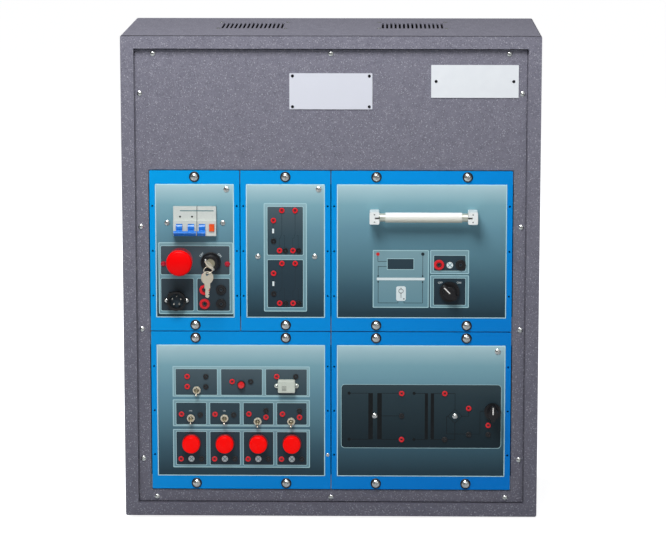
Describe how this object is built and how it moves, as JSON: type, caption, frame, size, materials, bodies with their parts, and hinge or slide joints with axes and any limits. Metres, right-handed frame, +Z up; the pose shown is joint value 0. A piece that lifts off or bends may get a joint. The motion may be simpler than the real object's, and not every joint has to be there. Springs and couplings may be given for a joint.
{
  "type": "electrical lighting trainer",
  "caption": "Steel training cabinet with plug-in lighting modules: breaker, stop button, key switch, fluorescent tube, toggles, pilot lamps, buzzer, supply and sockets.",
  "frame": {"origin": "on the bench, under the middle of the trainer", "axes": "front faces -Y, +Z up, +X to the right of someone facing the front"},
  "size_m": [0.64, 0.3514, 0.7553],
  "materials": {
    "case_paint": "hammertone enamel, satin",
    "header_plate": "satin enamel",
    "zinc_steel": "zinc plated",
    "screw_steel": "bright",
    "foot_rubber": "matt",
    "black_plastic": "satin",
    "frame_blue": "satin enamel",
    "faceplate_print": "printed film, satin",
    "breaker_grey": "satin",
    "lever_blue": "gloss",
    "test_button": "gloss",
    "signal_red": "gloss",
    "jack_red": "gloss",
    "jack_black": "gloss",
    "key_nickel": "polished nickel",
    "diode_red": "gloss",
    "relay_case": "gloss",
    "holder_white": "gloss",
    "tube_glass": "opal coated",
    "cap_aluminium": "satin",
    "ballast_steel": "satin enamel",
    "toggle_nickel": "polished",
    "switch_body": "satin",
    "lens_red": "gloss",
    "lamp_base": "gloss",
    "buzzer_white": "satin",
    "transformer_steel": "varnished"
  },
  "bodies": {
    "cabinet": {"case_shell": "case_paint", "rear_cover": "case_paint", "front_panel": "case_paint", "header_plates": "header_plate", "module_rails": "zinc_steel", "feet": "foot_rubber", "fan_frames": "black_plastic", "single_module_frames": "frame_blue", "double_module_frames": "frame_blue", "supply_faceplate": "faceplate_print", "relay_faceplate": "faceplate_print", "fluorescent_faceplate": "faceplate_print", "lighting_faceplate": "faceplate_print", "power_faceplate": "faceplate_print", "case_screws": "screw_steel", "module_screws": "screw_steel", "module_washers": "black_plastic", "small_screws": "screw_steel", "breaker_body": "breaker_grey", "leakage_block": "breaker_grey", "estop_base": "black_plastic", "key_switch_body": "black_plastic", "supply_lamps": "diode_red", "inlet_socket": "black_plastic", "large_jacks_red": "jack_red", "large_jacks_black": "jack_black", "small_jacks_red": "jack_red", "small_jacks_black": "jack_black", "relays": "relay_case", "lamp_holders": "holder_white", "ballast": "ballast_steel", "rotary_switch_body": "black_plastic", "toggle_switch_bodies": "switch_body", "push_button_body": "black_plastic", "pilot_lamp_bases": "lamp_base", "pilot_lamp_lenses": "lens_red", "buzzer": "buzzer_white", "transformers": "transformer_steel", "output_control_body": "zinc_steel"},
    "left_fan": {"fan_rotor_left": "black_plastic"},
    "right_fan": {"fan_rotor_right": "black_plastic"},
    "breaker_lever": {"breaker_handle": "lever_blue"},
    "leakage_lever": {"leakage_handle": "lever_blue"},
    "test_key": {"test_button": "test_button"},
    "stop_stem": {"estop_stem": "black_plastic"},
    "stop_head": {"estop_head": "signal_red"},
    "lock_barrel": {"key_barrel": "black_plastic"},
    "lock_key": {"supply_key": "key_nickel"},
    "spare_keys": {"key_ring": "key_nickel", "spare_key": "key_nickel"},
    "fluorescent_tube": {"tube_glass": "tube_glass", "tube_caps": "cap_aluminium"},
    "lamp_selector": {"rotary_switch_knob": "black_plastic"},
    "output_dial": {"output_control_knob": "black_plastic"},
    "toggle_1": {"toggle_lever_1": "toggle_nickel"},
    "toggle_2": {"toggle_lever_2": "toggle_nickel"},
    "toggle_3": {"toggle_lever_3": "toggle_nickel"},
    "toggle_4": {"toggle_lever_4": "toggle_nickel"},
    "toggle_5": {"toggle_lever_5": "toggle_nickel"},
    "push_cap": {"push_button_cap": "signal_red"}
  },
  "joints": [
    {"name": "left_fan_spin", "type": "hinge", "parent": "cabinet", "child": "left_fan", "pos_m": [-0.125, 0.04057, 0.74], "axis": [0, 0, 1], "continuous": true},
    {"name": "right_fan_spin", "type": "hinge", "parent": "cabinet", "child": "right_fan", "pos_m": [0.125, 0.04057, 0.74], "axis": [0, 0, 1], "continuous": true},
    {"name": "breaker_throw", "type": "hinge", "parent": "cabinet", "child": "breaker_lever", "pos_m": [-0.2234, -0.12483, 0.4585], "axis": [-1, 0, 0], "range_deg": [0, 70]},
    {"name": "leakage_throw", "type": "hinge", "parent": "cabinet", "child": "leakage_lever", "pos_m": [-0.19725, -0.12483, 0.4585], "axis": [-1, 0, 0], "range_deg": [0, 70]},
    {"name": "test_press", "type": "slide", "parent": "cabinet", "child": "test_key", "axis": [0, 1, 0], "range_m": [0, 0.002], "stiffness_N_per_m": 400},
    {"name": "stop_press", "type": "slide", "parent": "cabinet", "child": "stop_stem", "axis": [0, 1, 0], "range_m": [0, 0.005]},
    {"name": "stop_twist", "type": "hinge", "parent": "stop_stem", "child": "stop_head", "pos_m": [-0.23175, -0.14583, 0.4075], "axis": [0, 1, 0], "range_deg": [0, 45], "stiffness_Nm_per_rad": 0.05},
    {"name": "key_turn", "type": "hinge", "parent": "cabinet", "child": "lock_barrel", "pos_m": [-0.18475, -0.12083, 0.4045], "axis": [0, 1, 0], "range_deg": [0, 90]},
    {"name": "key_withdraw", "type": "slide", "parent": "lock_barrel", "child": "lock_key", "axis": [0, -1, 0], "range_m": [0, 0.024]},
    {"name": "spare_hang", "type": "hinge", "parent": "lock_key", "child": "spare_keys", "pos_m": [-0.18475, -0.15963, 0.4045], "axis": [0, 1, 0], "range_deg": [-90, 0]},
    {"name": "tube_twist", "type": "hinge", "parent": "cabinet", "child": "fluorescent_tube", "pos_m": [0.142, -0.13983, 0.4775], "axis": [1, 0, 0], "range_deg": [0, 90]},
    {"name": "lamp_switch_turn", "type": "hinge", "parent": "cabinet", "child": "lamp_selector", "pos_m": [0.1825, -0.12083, 0.3595], "axis": [0, 1, 0], "range_deg": [0, 90]},
    {"name": "output_turn", "type": "hinge", "parent": "cabinet", "child": "output_dial", "pos_m": [0.2505, -0.12083, 0.171], "axis": [0, 1, 0], "range_deg": [-140, 140]},
    {"name": "toggle_1_throw", "type": "hinge", "parent": "cabinet", "child": "toggle_1", "pos_m": [-0.2082, -0.12233, 0.203], "axis": [-1, 0, 0], "range_deg": [0, 50]},
    {"name": "toggle_2_throw", "type": "hinge", "parent": "cabinet", "child": "toggle_2", "pos_m": [-0.21755, -0.12233, 0.1583], "axis": [-1, 0, 0], "range_deg": [0, 50]},
    {"name": "toggle_3_throw", "type": "hinge", "parent": "cabinet", "child": "toggle_3", "pos_m": [-0.16545, -0.12233, 0.1583], "axis": [-1, 0, 0], "range_deg": [0, 50]},
    {"name": "toggle_4_throw", "type": "hinge", "parent": "cabinet", "child": "toggle_4", "pos_m": [-0.11385, -0.12233, 0.1537], "axis": [-1, 0, 0], "range_deg": [0, 50]},
    {"name": "toggle_5_throw", "type": "hinge", "parent": "cabinet", "child": "toggle_5", "pos_m": [-0.06175, -0.12233, 0.1537], "axis": [-1, 0, 0], "range_deg": [0, 50]},
    {"name": "push_button_press", "type": "slide", "parent": "cabinet", "child": "push_cap", "axis": [0, 1, 0], "range_m": [0, 0.003], "stiffness_N_per_m": 400}
  ],
  "couplings": [
    {"joint": "leakage_throw", "follows": "breaker_throw", "ratio": 1},
    {"joint": "spare_hang", "follows": "key_turn", "ratio": -1}
  ]
}
